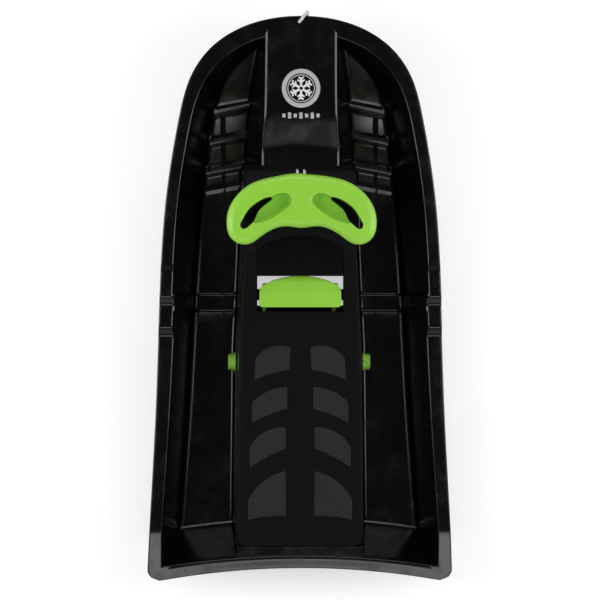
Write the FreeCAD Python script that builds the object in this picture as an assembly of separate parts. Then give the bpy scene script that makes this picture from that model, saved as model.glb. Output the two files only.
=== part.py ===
import FreeCAD, Part
import math
import os
from FreeCAD import Vector

# Child's plastic snow bob sled. Millimetres, +Z up, +Y to the nose, +X to the rider's right.
# Origin: middle of the footprint, on the snow under the keels.

# Hull
hull_length = 1050.0
hull_width = 570.0
wall = 3.5
rim_width = 23.0
nose_rim_extra = 8.0
lip_depth = 12.0
lip_wall = 2.8
rear_corner_radius = 22.0
wall_draft = 0.262        # sideways run per millimetre of height
rear_draft = 0.55
rear_sweep = 24.0         # how far the rear corners stand behind the rear middle
floor_height = 14.0
keel_height = 10.0
keel_width = 12.0
keel_rows = (144.0, 176.0)
keel_front = hull_length / 2 - 165.0
nose_rim_height = 205.0
rear_rim_height = 118.0
rim_slope = 0.0702
band_rear = -21.5         # raised cross band in each footwell
band_front = 11.0
band_proud = 4.0
rib_count = 3             # slanting foot grips on each side of the nose
rib_first_y = hull_length / 2 - 157.0
rib_pitch = 54.0
rib_inner = 84.0
rib_outer = 170.0
rib_slant = 16.0
rib_width = 15.0
rib_proud = 5.0

# Middle tunnel, seat cover and brake well
seat_front = 250.0
seat_rear = 65.0 - hull_length / 2
seat_half_line = [(seat_front, 103.0), (95.0, 105.0), (-90.0, 114.0), (seat_rear, 118.0)]    # (y, half width)
seat_height = 141.0
deck_height = 122.0
seat_wall = 3.0
cover_corner_radius = 14.0
skirt_depth = 18.0
roof_gap = 9.0            # between the tunnel roof and the cover's underside
tunnel_flare = 7.0
ridge_draft = 0.25
fit_gap = 0.3
well_half = 81.5
well_rear = -22.0
well_front = 95.0
well_arch = 121.0
well_corner_radius = 7.0
well_floor_front = 46.0

# Brake
brake_axis_y = -116.0
brake_axis_z = 60.0
pin_diameter = 12.0
pin_running_gap = 0.06
knob_diameter = 30.0
knob_flange_diameter = 35.0
knob_length = 14.0
arm_half_gap = 63.0
arm_thickness = 7.0
grip_half = 76.5
claw_thickness = 3.0
claw_half = 52.0
claw_tooth_pitch = 13.0
grip_rest = 141.2         # top of the lugs under the grip
lug_inner = 71.0
lug_front = 21.0
lug_height = 12.0
grip_front = 45.0
grip_thickness = 4.5
grip_lip_low = 126.0
grip_tooth_pitch = 7.4
grip_tooth_radius = 2.3
grip_line = [(-14, 146.0), (18, 147.0), (34, 145.0), (42, 141.0), (grip_front + 1, 135.0)]    # (y, z)
boss_end = 108.0          # outer end of the lever's bosses
claw_top = 58.0
claw_low = 8.0
claw_tooth_depth = 14.0
claw_y = -170.0           # the claw plate lies behind this plane
claw_screws = (-34.0, 0.0, 34.0)
claw_screw_drop = 13.0
claw_screw_diameter = 3.4
pin_inner = 58.0
pin_step = 1.4            # flange stands off the sloping tunnel wall
flange_thickness = 3.0

# Handle and rope
handle_half = 138.0
handle_base = 205.0
handle_thickness = 36.0
dock_height = handle_base - 0.3
dock_bolt_diameter = 18.0
handle_y = 172.0
rope_diameter = 6.0
rope_spacing = 13.0

knot_diameter = 11.5
knot_y = 214.0
rope_drop_y = 243.0
nose_hole = (-3.5, hull_length / 2 - 11.5)
rope_tunnel_height = 181.0

# Screws that hold the cover down
screw_diameter = 4.0
screw_length = 13.0
screw_head_diameter = 8.0
boss_diameter = 9.0
screw_places = [(x, y) for y in (170, -60, -250, -425) for x in (-88, 88)]

# Non-slip pads
pad_thickness = 2.0
pad_recess = 1.2

# Printed film on the nose
graphic_half = 37.0

os.makedirs("parts", exist_ok=True)
half_length = hull_length / 2
half_width = hull_width / 2
outside = half_width + 55.0        # clear of the hull on both sides


def export(name, shape):
    print(name, "valid" if shape.isValid() else "INVALID", len(shape.Solids), round(shape.Volume / 1000, 1))
    shape.exportStep("parts/" + name + ".step")


def smooth(value):
    value = max(0.0, min(1.0, value))
    return value * value * (3 - 2 * value)


def between(points, y):
    """Straight-line value at y of a list of (y, value) pairs in falling y."""
    for (y0, v0), (y1, v1) in zip(points, points[1:]):
        if y >= y1:
            return v0 + (v1 - v0) * (y - y0) / (y1 - y0)
    return points[-1][1]


def spline(points, closed=False):
    curve = Part.BSplineCurve()
    curve.interpolate(points, PeriodicFlag=closed)
    return curve


def box(x0, x1, y0, y1, z0, z1):
    return Part.makeBox(x1 - x0, y1 - y0, z1 - z0, Vector(x0, y0, z0))


def side_slab(points, half):
    """A closed outline of (y, z) points, drawn out sideways to both sides of the middle."""
    wire = Part.makePolygon([Vector(-half, y, z) for y, z in points + points[:1]])
    return Part.Face(wire).extrude(Vector(2 * half, 0, 0))


def rounded_path(points, radii):
    """Straight runs joined by tangent arcs, one radius for each inner point."""
    edges = []
    start = points[0]
    for before, corner, after, radius in zip(points, points[1:], points[2:], radii):
        inward = (before - corner).normalize()
        outward = (after - corner).normalize()
        half_angle = inward.getAngle(outward) / 2
        reach = radius / math.tan(half_angle)
        first = corner + inward * reach
        last = corner + outward * reach
        bisector = (inward + outward).normalize()
        middle = corner + bisector * (radius / math.sin(half_angle) - radius)
        if (first - start).Length > 1e-6:
            edges.append(Part.LineSegment(start, first).toShape())
        edges.append(Part.Arc(first, middle, last).toShape())
        start = last
    edges.append(Part.LineSegment(start, points[-1]).toShape())
    return Part.Wire(edges)


def cylinder_x(x0, x1, y, z, diameter):
    return Part.makeCylinder(diameter / 2, x1 - x0, Vector(x0, y, z), Vector(1, 0, 0))


# Plan outline: (share of half width, share of length back from the nose tip)
plan_stations = [
    (0.250, 0.0078), (0.416, 0.0240), (0.583, 0.0552), (0.714, 0.1050), (0.793, 0.1790),
    (0.871, 0.3070), (0.920, 0.5000), (0.944, 0.6880), (0.977, 0.8600), (1.015, 1.0600),
]


def plan_curve():
    right = [Vector(half_width * w, half_length - hull_length * d, 0) for w, d in plan_stations]
    left = [Vector(-p.x, p.y, 0) for p in right]
    return spline(list(reversed(right)) + [Vector(0, half_length, 0)] + left)


outline = plan_curve()
nose_centre = half_length - 225.0       # the nose walls lean towards this point


def sheer(y):
    """Height of the straight line that the rim follows from rear to nose."""
    return nose_rim_height + (y - half_length) * rim_slope


def nose_share(y):
    return smooth((y - 0.62 * half_length) / (0.33 * half_length))


def rim_inset(y):
    return rim_width + nose_rim_extra * nose_share(y)


def ring(inset, z):
    """Plan outline moved inwards by inset(y) at height z, closed behind the hull."""
    count = 29
    points = []
    for i in range(count):
        t = outline.FirstParameter + (outline.LastParameter - outline.FirstParameter) * i / (count - 1)
        place = outline.value(t)
        tangent = outline.tangent(t)[0]
        inward = Vector(-tangent.y, tangent.x, 0).normalize()
        towards = Vector(-place.x, min(0.0, nose_centre - place.y), 0).normalize()
        if place.y < nose_centre:
            towards = Vector(-1.0 if place.x > 0 else 1.0, 0, 0)
        points.append(place + towards * (inset(place.y) / inward.dot(towards)) + Vector(0, 0, z))
    curve = spline(points)
    return Part.Wire([curve.toShape(), Part.LineSegment(points[-1], points[0]).toShape()])


def rear_wire(shift, sweep, z):
    """Everything in front of the concave rear edge, at height z."""
    far = half_width + 115.0
    middle = Vector(0, -half_length + rear_sweep + shift, z)
    share = (far / (half_width - rear_corner_radius)) ** 2
    corner = Vector(far, -half_length + rear_sweep + shift - sweep * share, z)
    left = Vector(-corner.x, corner.y, z)
    front_left = Vector(-far, half_length + far, z)
    front_right = Vector(far, half_length + far, z)
    return Part.Wire([
        Part.Arc(left, middle, corner).toShape(),
        Part.LineSegment(corner, front_right).toShape(),
        Part.LineSegment(front_right, front_left).toShape(),
        Part.LineSegment(front_left, left).toShape(),
    ])


def plan_prism(inset):
    side = Part.Face(ring(lambda y: inset, -20)).extrude(Vector(0, 0, 280))
    rear = Part.Face(rear_wire(inset, rear_sweep, -20)).extrude(Vector(0, 0, 280))
    prism = side.common(rear)
    corners = [
        edge for edge in prism.Edges
        if abs(edge.tangentAt(edge.FirstParameter).z) > 0.99 and abs(edge.CenterOfMass.x) > half_width / 2
        and edge.CenterOfMass.y < 0
    ]
    return prism.makeFillet(rear_corner_radius - inset, corners)


def tub(outward):
    """Sloping walls as one drafted body, moved outwards by a wall or not at all."""
    low, high = -10.0, 240.0
    rear_rim = rear_rim_height + 8

    def at(z):
        def inset(y):
            return rim_inset(y) + wall_draft * (sheer(y) - z) - outward
        return inset

    side = Part.makeLoft([ring(at(low), low), ring(at(high), high)], True, True)
    rear = Part.makeLoft([
        rear_wire(rim_width + rear_draft * (rear_rim - z) - outward, rear_sweep, z) for z in (low, high)
    ], True, True)
    return side.common(rear)


# Rim heights along the side: two hand-grip steps fall towards the rear, then the tail droops
rim_line = [
    (half_length + 40, nose_rim_height + 3), (66, 173.0), (54, 170.0), (6, 168.0), (-8, 156.0),
    (-51, 155.0), (-66, 143.0), (95 - half_length, 138.0), (-half_length + 12, rear_rim_height),
    (-half_length - 40, rear_rim_height - 12),
]


def rim_band(depth):
    """The layer under the rim line, depth thick."""
    top = rim_line
    bottom = [(y, z - depth) for y, z in reversed(rim_line)]
    return side_slab(top + bottom, outside)


# Floor along the middle of a footwell: flat, then up the foot rests to the nose plate
floor_line = [
    (-half_length - 60, floor_height), (half_length - 395, floor_height), (half_length - 325, 22.0),
    (half_length - 263, 38.0), (half_length - 195, 60.0), (half_length - 143, 86.0),
    (half_length - 95, 120.0), (half_length - 51, 158.0), (half_length - 39, 178.0),
    (half_length - 25, 230.0),
]


def above_floor(drop):
    """Everything above the floor line lowered by drop."""
    ramp = floor_line[1][0]
    line = [Vector(-outside, y + 0.35 * drop * smooth((y - ramp) / 300), z - drop) for y, z in floor_line]
    start = Part.LineSegment(line[0], line[1]).toShape()
    curve = Part.BSplineCurve()
    curve.interpolate(line[1:8], InitialTangent=Vector(0, 1, 0), FinalTangent=Vector(0, 0.72, 0.9))
    top = 260.0
    tail = line[7:10] + [Vector(-outside, line[9].y, top), Vector(-outside, line[0].y, top), line[0]]
    edges = [start, curve.toShape()] + [Part.LineSegment(a, b).toShape() for a, b in zip(tail, tail[1:])]
    return Part.Face(Part.Wire(edges)).extrude(Vector(2 * outside, 0, 0))


def tapered(stations, low, high, half_at):
    """A body between two heights whose half width at each y is half_at(y, z)."""
    def wire(z):
        right = [Vector(half_at(y, z), y, z) for y in stations]
        left = [Vector(-p.x, p.y, z) for p in reversed(right)]
        return Part.makePolygon(right + left + right[:1])
    return Part.makeLoft([wire(low), wire(high)], True, True)


# Nose ridge and tunnel
ridge_front = half_length - 23.0
ridge_waist = half_length - 143.0
ridge_rear = seat_front - 20.0
ridge_top = 208.0
ridge_fall = 0.19         # fall of the ridge's upper edges towards the rear
ridge_line = [
    (ridge_front, ridge_top), (half_length - 185, 182.0), (half_length - 250, 160.0), (ridge_rear, 158.0),
]
ridge_halves = [(ridge_front, 66.0), (ridge_waist, 68.0), (ridge_rear, 73.0)]


def ridge(drop):
    """Ridge from the nose to the seat; drop takes a wall off it all round."""
    def half_at(y, z):
        top = ridge_top - (ridge_front - y) * ridge_fall
        return between(ridge_halves, y) + ridge_draft * (top - z) - drop
    front = ridge_front - (14 if drop else 0) - drop
    rear = ridge_rear + min(drop, 0.0)
    body = tapered([front, ridge_waist, rear], -20, 230, half_at)
    top = [(y, z - drop) for y, z in ridge_line[:-1]] + [(rear, ridge_line[-1][1] - drop)]
    ends = [(rear, -20), (ridge_front + 5, -20)]
    slab = side_slab([(ridge_front + 5, top[0][1])] + top[1:] + ends, outside)
    return body.common(slab)


def seat_half(y):
    return between(seat_half_line, y)


def seat_stations(front, rear):
    """The ends of a body along the seat and the corners of the seat's plan between them."""
    return [front] + [y for y, _ in seat_half_line[1:-1]] + [rear]


def rear_corners(body):
    """Upright edges at the rear end of the seat."""
    return [
        e for e in body.Edges
        if abs(e.tangentAt(e.FirstParameter).z) > 0.99 and e.CenterOfMass.y < seat_rear + 20
    ]


# Seat and console, side view of the cover's upper side
seat_line = [
    (seat_front, 170.0), (240, 184.0), (200, dock_height), (150, dock_height), (126, 178.0),
    (96, 160.0), (20, seat_height + 7), (-120, seat_height), (-300, seat_height - 7),
    (seat_rear + 26, seat_height - 10), (seat_rear, seat_height - 20),
]


def below_seat(depth, front, rear):
    """The seat's side line lowered by depth, from the console's front wall to y = rear."""
    lowered = [(y, z - depth) for y, z in seat_line[6:-1]]
    return [(front, 146.0)] + lowered + [(rear, seat_line[-1][1] - depth)]


tunnel_line = below_seat(seat_wall + roof_gap, seat_front - seat_wall - 0.5, seat_rear + seat_wall + 0.5)
shoulder_line = below_seat(skirt_depth + fit_gap, seat_front, seat_rear)


def tunnel(drop):
    """Channel under the seat: a flared lower part and a narrower neck that the cover fits over."""
    rear = seat_rear - 30
    front = seat_front - 3.5 - drop

    def low_half(y, z):
        return seat_half(y) + tunnel_flare * (130 - z) / 116 - drop

    def neck_half(y, z):
        return seat_half(y) - seat_wall - fit_gap - drop

    lower = tapered(seat_stations(front, rear), -20, 230, low_half)
    neck = tapered(seat_stations(front, seat_rear + 3.5 + drop), -20, 230, neck_half)
    neck = neck.makeFillet(cover_corner_radius - seat_wall, rear_corners(neck))
    shoulder = [(y, z - drop) for y, z in shoulder_line]
    under_shoulder = side_slab(shoulder + [(seat_rear, -20), (seat_front, -20)], outside)
    deck = side_slab([
        (seat_rear - fit_gap, deck_height - drop), (rear, deck_height - 2.5 - drop),
        (rear, -20), (seat_rear - fit_gap, -20),
    ], outside)
    roof = [(y, z - drop) for y, z in tunnel_line]
    under_top = side_slab(roof + [(roof[-1][0], -20), (roof[0][0], -20)], outside)
    return lower.common(under_shoulder).fuse(lower.common(deck)).fuse(neck.common(under_top))


def well_outline(grow, z):
    """Brake well in plan: square at the back, arched at the front."""
    x = well_half + grow
    rear, front, arch = well_rear - grow, well_front + grow, well_arch + grow
    corner = Vector(x, front, z)
    left = Vector(-x, front, z)
    return Part.Wire([
        Part.LineSegment(left, Vector(-x, rear, z)).toShape(),
        Part.LineSegment(Vector(-x, rear, z), Vector(x, rear, z)).toShape(),
        Part.LineSegment(Vector(x, rear, z), corner).toShape(),
        Part.Arc(corner, Vector(0, arch, z), left).toShape(),
    ])


def well(grow, low, high):
    body = Part.Face(well_outline(grow, low)).extrude(Vector(0, 0, high - low))
    upright = [e for e in body.Edges if abs(e.tangentAt(e.FirstParameter).z) > 0.99]
    return body.makeFillet(well_corner_radius, upright)


def foot_ribs():
    """Three slanting foot grips on each side of the nose."""
    ribs = []
    for row in range(rib_count):
        y0 = rib_first_y - rib_pitch * row
        y1 = y0 - rib_slant
        base = floor_z(y0) - 12
        for side in (-1, 1):
            x0, x1 = rib_inner * side, (rib_outer + 10 * row) * side
            corners = [
                Vector(x0, y0 + rib_width / 2, base), Vector(x1, y1 + rib_width / 2, base),
                Vector(x1, y1 - rib_width / 2, base), Vector(x0, y0 - rib_width / 2, base),
            ]
            face = Part.Face(Part.makePolygon(corners + corners[:1]))
            ribs.append(face.extrude(Vector(0, 0, 60)))
    whole = ribs[0].multiFuse(ribs[1:])
    return whole.common(above_floor(2.0)).cut(above_floor(-rib_proud))


def floor_z(y):
    """Height of the footwell floor at y, taken straight between its stations."""
    return between(list(reversed(floor_line)), y)


def make_hull():
    under = side_slab([
        (half_length + 60, nose_rim_height + 4.2), *rim_line[1:],
        (-half_length - 40, -30), (half_length + 60, -30),
    ], outside)
    body = tub(wall).common(under).common(above_floor(wall + 0.5))
    plan = plan_prism(0)
    rim = plan.common(rim_band(wall))
    lip = plan.cut(plan_prism(lip_wall)).common(rim_band(lip_depth))
    basin = tub(0).common(above_floor(0))
    basin = basin.cut(ridge(0)).cut(tunnel(0))
    band = box(100, half_width - 45, band_rear, band_front, floor_height, 190)
    band = band.fuse(band.mirror(Vector(0, 0, 0), Vector(1, 0, 0)))
    shell = body.fuse(rim).fuse(lip).cut(basin)
    nose_block = box(-90, 90, half_length - 65, half_length - 5, 150, 220)
    shell = shell.fuse(ridge(0).common(nose_block).common(above_floor(wall)))
    # raised cross band in each footwell, running up the wall
    proud = tub(-band_proud).common(above_floor(-band_proud))
    raised = band.common(basin).cut(proud).common(under)
    ribs = foot_ribs().common(basin)
    shell = shell.fuse(raised).fuse(ribs)
    inner = ridge(wall).common(tub(-2.0)).fuse(tunnel(wall).common(tub(-2.0)))
    shell = shell.cut(inner)
    # sloping front wall of the brake well
    slope = side_slab([
        (well_arch + 6, 146.0), (well_arch + 1, 146.0), (well_floor_front, 9.0), (well_floor_front + 4, 9.0),
    ], outside).common(tunnel(1.0))
    shell = shell.cut(well(-1.5, 100, 190)).fuse(slope)
    # keels under both footwells
    for row in keel_rows:
        for side in (-1, 1):
            x = row * side
            block = box(x - keel_width / 2, x + keel_width / 2, -half_length, keel_front, -5, 120)
            keel = block.common(above_floor(floor_height)).cut(above_floor(wall)).common(tub(wall + 2))
            shell = shell.fuse(keel)
    # lugs that the brake grip rests on
    for side in (-1, 1):
        x0, x1 = sorted((lug_inner * side, (well_half + 1) * side))
        shell = shell.fuse(box(x0, x1, 0, lug_front, grip_rest - lug_height, grip_rest))
    # screw holes in the tunnel roof, rope holes, brake pin bores
    for x, y in screw_places:
        shell = shell.cut(Part.makeCylinder(screw_diameter / 2 + 0.3, 12, Vector(x, y, tunnel_top(y) - 8)))
    for x in (-rope_spacing / 2, rope_spacing / 2):
        shell = shell.cut(Part.makeCylinder(rope_diameter / 2 + 1, 40, Vector(x, rope_drop_y, 140)))
        place = Vector(x, half_length - 50, rope_tunnel_height - 1)
        shell = shell.cut(Part.makeCylinder(rope_diameter / 2 + 1.5, 30, place, Vector(0, 1, 0)))
    shell = shell.cut(Part.makeCylinder(rope_diameter / 2 + 1.5, 40, Vector(*nose_hole, 190)))
    for side in (-1, 1):
        x0, x1 = sorted((90 * side, 140 * side))
        shell = shell.cut(cylinder_x(x0, x1, brake_axis_y, brake_axis_z, pin_diameter + 0.4))
    return shell.removeSplitter()


# Seat and console cover: a tray turned over, 3 mm thick
def cover_body(drop):
    front, rear = seat_front - drop, seat_rear + drop

    def half_at(y, z):
        return seat_half(y) - drop

    body = tapered(seat_stations(front, rear), 90, 240, half_at)
    body = body.makeFillet(cover_corner_radius - drop, rear_corners(body))
    top = [(y, z - drop) for y, z in seat_line]
    low = list(reversed(below_seat(skirt_depth + (20 if drop else 0), front, rear)))
    profile = [(front, top[0][1])] + top[1:-1] + [(rear, top[-1][1])] + low
    return body.common(side_slab(profile, outside)).Solids[0]


def make_cover():
    cover = cover_body(0).cut(cover_body(seat_wall)).cut(well(0, 100, 220)).cut(ridge(-fit_gap))
    # bolt socket and rope holes under the handle
    cover = cover.cut(Part.makeCylinder(dock_bolt_diameter / 2 + 0.4, 60, Vector(0, handle_y, 160)))
    socket = Part.makeCylinder(dock_bolt_diameter / 2 + 4, 34, Vector(0, handle_y, dock_height - 36))
    socket = socket.cut(Part.makeCylinder(dock_bolt_diameter / 2 + 0.4, 60, Vector(0, handle_y, 150)))
    cover = cover.fuse(socket)
    for x in (-rope_spacing / 2, rope_spacing / 2):
        width = rope_diameter / 2 + 0.8
        cover = cover.cut(Part.makeCylinder(width, 60, Vector(x, rope_drop_y, 150)))
        cover = cover.cut(box(x - width, x + width, rope_drop_y - 11, rope_drop_y, 150, 210))
    for outline_points in pad_outlines(0.25):
        cover = cover.cut(pad_solid(outline_points, -pad_recess, 8))
    for x, y in screw_places:
        top = seat_top(y) - seat_wall + 0.5
        floor = tunnel_top(y + boss_diameter / 2) + 0.05
        depth = min(screw_length - wall, top - floor) - 1
        boss = Part.makeCylinder(boss_diameter / 2, top - floor, Vector(x, y, floor))
        hole = Part.makeCylinder(screw_diameter / 2, depth, Vector(x, y, floor - 1))
        cover = cover.fuse(boss.cut(hole))
    return cover.removeSplitter()


def seat_top(y):
    return between(seat_line, y)


def tunnel_top(y):
    return between(tunnel_line, y)


# Pads: (inner x, outer x) and y of the inner and outer ends, front and rear edge of each
pad_rows = [
    dict(inner=(18, 21), outer=(83, 86), front=(-88, -108), rear=(-130, -149), crown=(69, -94)),
    dict(inner=(24, 24.5), outer=(90, 90), front=(-161, -190), rear=(-203, -229), crown=(63, -171)),
    dict(inner=(27, 26.5), outer=(95, 94), front=(-237, -276), rear=(-277, -312), crown=(76, -252)),
    dict(inner=(27, 26.5), outer=(97, 97), front=(-318, -371), rear=(-403, -410), crown=(62, -333)),
]


def pad_outlines(grow):
    outlines = []
    for row in pad_rows:
        for side in (-1, 1):
            (x_front, x_rear), (ox_front, ox_rear) = row["inner"], row["outer"]
            (y_in_front, y_out_front), (y_in_rear, y_out_rear) = row["front"], row["rear"]
            cx, cy = row["crown"]
            a = Vector(side * (x_front - grow), y_in_front + grow, 0)
            b = Vector(side * (cx + grow), cy + grow, 0)
            c = Vector(side * (ox_front + grow), y_out_front + grow, 0)
            d = Vector(side * (ox_rear + grow), y_out_rear - grow, 0)
            e = Vector(side * (x_rear - grow), y_in_rear - grow, 0)
            sag = (d + e) * 0.5 + Vector(0, 3.0, 0)
            outlines.append([
                Part.Arc(a, b, c).toShape(), Part.LineSegment(c, d).toShape(),
                Part.Arc(d, sag, e).toShape(), Part.LineSegment(e, a).toShape(),
            ])
    return outlines


def pad_solid(edges, low, high):
    """A pad that follows the seat surface between two offsets from it."""
    prism = Part.Face(Part.Wire(edges)).extrude(Vector(0, 0, 300))
    line = seat_line[6:-1]
    layer = side_slab([(y, z + low) for y, z in line] + [(y, z + high) for y, z in reversed(line)], outside)
    return prism.common(layer)


# Handle
def mirrored(points, z):
    right = [Vector(x, y, z) for x, y in points]
    left = [Vector(-p.x, p.y, z) for p in reversed(right) if p.x > 0.1]
    return right + left


handle_outline = [
    (0, 233), (48, 228), (92, 215), (119, 193), (135, 165), (138, 140), (133, 119),
    (118, 105), (98, 103), (79, 114), (54, 130), (26, 136), (0, 133),
]
loop_outline = [
    (55, 190), (66, 188), (80, 181), (98, 166), (109, 148),
    (113, 136), (108, 131), (97, 136), (87, 148), (73, 171),
]
web_outline = [
    (20, 188), (30, 196), (50, 192), (70, 176), (86, 152), (90, 143), (78, 143), (54, 151), (30, 168),
]


def flat_prism(pairs, low, high, both=False):
    points = mirrored(pairs, low) if both else [Vector(x, y, low) for x, y in pairs]
    return Part.Face(Part.Wire(spline(points, True).toShape())).extrude(Vector(0, 0, high - low))


def make_handle():
    top = handle_base + handle_thickness
    body = flat_prism(handle_outline, handle_base, top, both=True)
    rims = [e for e in body.Edges if abs(e.tangentAt((e.FirstParameter + e.LastParameter) / 2).z) < 0.1]
    body = body.makeFillet(14.0, rims)
    for side in (-1, 1):
        loop = flat_prism([(side * x, y) for x, y in loop_outline], handle_base - 5, top + 5)
        web = flat_prism([(side * x, y) for x, y in web_outline], handle_base + 12, top + 5)
        body = body.cut(web).cut(loop)
    bolt = Part.makeCylinder(dock_bolt_diameter / 2, 30, Vector(0, handle_y, handle_base - 30))
    body = body.fuse(bolt)
    for x in (-rope_spacing / 2, rope_spacing / 2):
        hole = rope_diameter / 2 + fit_gap
        body = body.cut(Part.makeCylinder(hole, 12, Vector(x, knot_y, handle_base - 1)))
        body = body.cut(Part.makeCone(6.0, hole, 7, Vector(x, knot_y, handle_base - 0.1)))
        body = body.cut(Part.makeCylinder(knot_diameter / 2 + 0.5, 16, Vector(x, knot_y, handle_base + 9)))
    return body


# Brake lever: a grip in the well, two arms back to the axis, a claw carrier behind it
def grip_outline(z):
    right = [(60, 33), (68, 29), (75, 22), (grip_half, 14)]
    corner = [(grip_half, -9), (grip_half - 4, -13)]
    front = Part.Arc(
        Vector(-right[0][0], right[0][1], z), Vector(0, grip_front, z), Vector(right[0][0], right[0][1], z),
    ).toShape()
    chain = [Vector(x, y, z) for x, y in right + corner]
    chain += [Vector(-p.x, p.y, z) for p in reversed(chain)]
    sides = [Part.LineSegment(a, b).toShape() for a, b in zip(chain, chain[1:])]
    return Part.Wire([front] + sides)


def make_lever():
    plan = Part.Face(grip_outline(90)).extrude(Vector(0, 0, 80))
    under_top = side_slab(grip_line + [(grip_front + 1, 90), (-14, 90)], 90)
    plate = plan.common(side_slab(grip_line + [(y, z - grip_thickness) for y, z in reversed(grip_line)], 90))
    behind = plan.translated(Vector(0, -grip_thickness, 0))
    lip = plan.cut(behind).common(box(-90, 90, lug_front + 7, 60, grip_lip_low, 170)).common(under_top)
    lever = plate.fuse(lip)
    # half-round teeth that fingers hold, along the front lip
    for step in range(-7, 8):
        x = grip_tooth_pitch * step
        y = grip_front - 12.0 * (x / 60.0) ** 2
        tooth = Part.makeCylinder(grip_tooth_radius, 9, Vector(x, y - 0.9, grip_lip_low + 1))
        lever = lever.fuse(tooth)
    # arms
    arm = [
        (10, 144.0), (30, 144.0), (32, 132.0), (30, 66.0), (22, 54.0), (-60, 48.0), (-150, 44.0),
        (-176, 30.0), (-184, 36.0), (-180, 50.0), (-150, 62.0), (-100, 72.0), (-30, 68.0), (4, 72.0),
        (12, 84.0), (14, 132.0),
    ]
    for side in (-1, 1):
        x0, x1 = sorted((arm_half_gap * side, (arm_half_gap + arm_thickness) * side))
        wire = Part.makePolygon([Vector(x0, y, z) for y, z in arm + arm[:1]])
        plate = Part.Face(wire).extrude(Vector(x1 - x0, 0, 0))
        b0, b1 = sorted((arm_half_gap * side, boss_end * side))
        plate = plate.fuse(cylinder_x(b0, b1, brake_axis_y, brake_axis_z, pin_diameter + 12))
        c0, c1 = sorted((30 * side, 130 * side))
        plate = plate.cut(cylinder_x(c0, c1, brake_axis_y, brake_axis_z, pin_diameter + 2 * pin_running_gap))
        lever = lever.fuse(plate)
    # cross pieces: one behind the grip's neck, one that the claw is screwed to
    lever = lever.fuse(box(-arm_half_gap, arm_half_gap, 16, 24, 70, 118))
    lever = lever.fuse(box(-arm_half_gap, arm_half_gap, claw_y, claw_y + 10, claw_top - 26, claw_top))
    for x in claw_screws:
        place = Vector(x, claw_y, claw_top - claw_screw_drop)
        lever = lever.cut(Part.makeCylinder(claw_screw_diameter / 2, 9, place, Vector(0, 1, 0)))
    return lever.removeSplitter()


def make_claw():
    """Steel plate with a row of pointed teeth, flat against the carrier's rear face."""
    rear, front = claw_y - claw_thickness, claw_y
    count = int(2 * claw_half / claw_tooth_pitch)
    pitch = 2 * claw_half / count
    points = [Vector(-claw_half, rear, claw_top)]
    for tooth in range(count):
        x = -claw_half + tooth * pitch
        points += [Vector(x, rear, claw_low + claw_tooth_depth), Vector(x + pitch / 2, rear, claw_low)]
    points += [Vector(claw_half, rear, claw_low + claw_tooth_depth), Vector(claw_half, rear, claw_top)]
    plate = Part.Face(Part.makePolygon(points + points[:1])).extrude(Vector(0, front - rear, 0))
    for x in claw_screws:
        place = Vector(x, rear - 1, claw_top - claw_screw_drop)
        plate = plate.cut(Part.makeCylinder(claw_screw_diameter / 2 + 0.5, 6, place, Vector(0, 1, 0)))
    return plate


def screw(place, direction, length, diameter, head, head_height):
    """Pan-head screw with a cross slot; place is under the head."""
    shank = Part.makeCylinder(diameter / 2, length, place, direction)
    top = Part.makeCylinder(head / 2, head_height, place - direction * head_height, direction)
    return shank.fuse(top)


def make_claw_screws():
    screws = [
        screw(
            Vector(x, claw_y - claw_thickness, claw_top - claw_screw_drop), Vector(0, 1, 0),
            11.5, claw_screw_diameter, 7.0, 2.4,
        )
        for x in claw_screws
    ]
    return Part.makeCompound(screws)


def make_pin(side):
    """Headed pin pushed in from the footwell: flange, round knob and shaft."""
    wall_x = seat_half(brake_axis_y) + tunnel_flare * (130 - brake_axis_z) / 116
    face = wall_x + pin_step
    pieces = []
    for x0, x1, diameter in (
        (pin_inner, face, pin_diameter),
        (face, face + flange_thickness, knob_flange_diameter),
        (face + flange_thickness, face + knob_length, knob_diameter),
    ):
        a, b = sorted((x0 * side, x1 * side))
        pieces.append(cylinder_x(a, b, brake_axis_y, brake_axis_z, diameter))
    pin = pieces[0].multiFuse(pieces[1:])
    far = (face + knob_length) * side
    rim = [e for e in pin.Edges if abs(e.CenterOfMass.x - far) < 0.01]
    return pin.makeFillet(3.0, rim)


# Screws that come up through the tunnel roof into the cover's bosses
def make_cover_screws():
    screws = []
    for x, y in screw_places:
        under = tunnel_top(y) - wall - 0.2
        screws.append(screw(
            Vector(x, y, under), Vector(0, 0, 1), screw_length, screw_diameter, screw_head_diameter, 2.6,
        ))
    return Part.makeCompound(screws)


# Tow rope: one length, from a knot in the handle down through the console, forward under the
# ridge, up through the nose hole, round the rim and back the same way to the second knot
def rope_route():
    x = rope_spacing / 2
    nose_x, nose_y = nose_hole
    strand = [
        (knot_y, handle_base + 13), (knot_y, 201.5), (rope_drop_y - 2, 187), (rope_drop_y, 140), (262, 108),
        (325, 112), (405, 150), (455, 172), (494, rope_tunnel_height),
    ]
    up = [Vector(-x, y, z) for y, z in strand]
    down = [Vector(x, y, z) for y, z in reversed(strand)]
    over = [
        Vector(nose_x, nose_y, 186), Vector(nose_x, nose_y, 212), Vector(2, 520, 222), Vector(10, 531, 219),
        Vector(12, 534, 200), Vector(11, 527, 182),
    ]
    return up + over + down


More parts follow.
